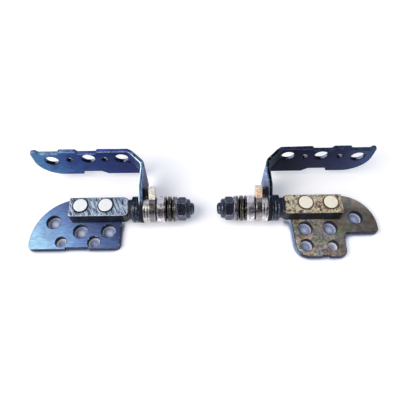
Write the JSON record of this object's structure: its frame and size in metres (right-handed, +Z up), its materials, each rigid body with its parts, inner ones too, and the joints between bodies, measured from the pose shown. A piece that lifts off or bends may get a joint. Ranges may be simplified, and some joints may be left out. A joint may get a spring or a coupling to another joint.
{
  "type": "pair of laptop hinges",
  "caption": "Pair of laptop lid friction hinges with flat base plates, washer stacks on the shafts and folded display brackets with screw holes.",
  "frame": {"origin": "middle of the pair's bounding box, on the plane under the base plates", "axes": "+X along both shafts from the left hinge to the right one, +Y to the back, where the display brackets stand, +Z up"},
  "size_m": [0.0856, 0.0244, 0.0121],
  "materials": {
    "left_plate_steel": "satin",
    "right_plate_steel": "satin",
    "left_bracket_steel": "satin",
    "right_bracket_steel": "satin",
    "shaft_steel": "satin",
    "rivet_steel": "polished",
    "washer_steel": "satin",
    "pressure_steel": "satin",
    "dark_steel": "satin",
    "drive_brass": "satin"
  },
  "bodies": {
    "base": {"left_base_plate": "left_plate_steel", "left_shaft": "shaft_steel", "left_rivet_inner": "rivet_steel", "left_rivet_outer": "rivet_steel", "left_inner_washer_1": "washer_steel", "left_inner_washer_2": "washer_steel", "left_friction_washer_1": "washer_steel", "left_friction_washer_2": "washer_steel", "left_spacer_washer": "dark_steel", "left_pressure_washer": "pressure_steel", "left_disc_spring_1": "dark_steel", "left_disc_spring_2": "dark_steel", "left_disc_spring_3": "dark_steel", "left_disc_spring_4": "dark_steel", "left_lock_washer": "washer_steel", "left_lock_nut": "dark_steel", "right_base_plate": "right_plate_steel", "right_shaft": "shaft_steel", "right_rivet_inner": "rivet_steel", "right_rivet_outer": "rivet_steel", "right_inner_washer_1": "washer_steel", "right_inner_washer_2": "washer_steel", "right_friction_washer_1": "washer_steel", "right_friction_washer_2": "washer_steel", "right_spacer_washer": "dark_steel", "right_pressure_washer": "pressure_steel", "right_disc_spring_1": "dark_steel", "right_disc_spring_2": "dark_steel", "right_disc_spring_3": "dark_steel", "right_disc_spring_4": "dark_steel", "right_lock_washer": "washer_steel", "right_lock_nut": "dark_steel"},
    "left_lid": {"left_display_bracket": "left_bracket_steel", "left_drive_washer": "drive_brass"},
    "right_lid": {"right_display_bracket": "right_bracket_steel", "right_drive_washer": "drive_brass"}
  },
  "joints": [
    {"name": "left_lid_hinge", "type": "hinge", "parent": "base", "child": "left_lid", "pos_m": [-0.0171, -0.0001, 0.0035], "axis": [-1, 0, 0], "range_deg": [-90, 45]},
    {"name": "right_lid_hinge", "type": "hinge", "parent": "base", "child": "right_lid", "pos_m": [0.0179, -0.0001, 0.0035], "axis": [-1, 0, 0], "range_deg": [-90, 45]}
  ]
}
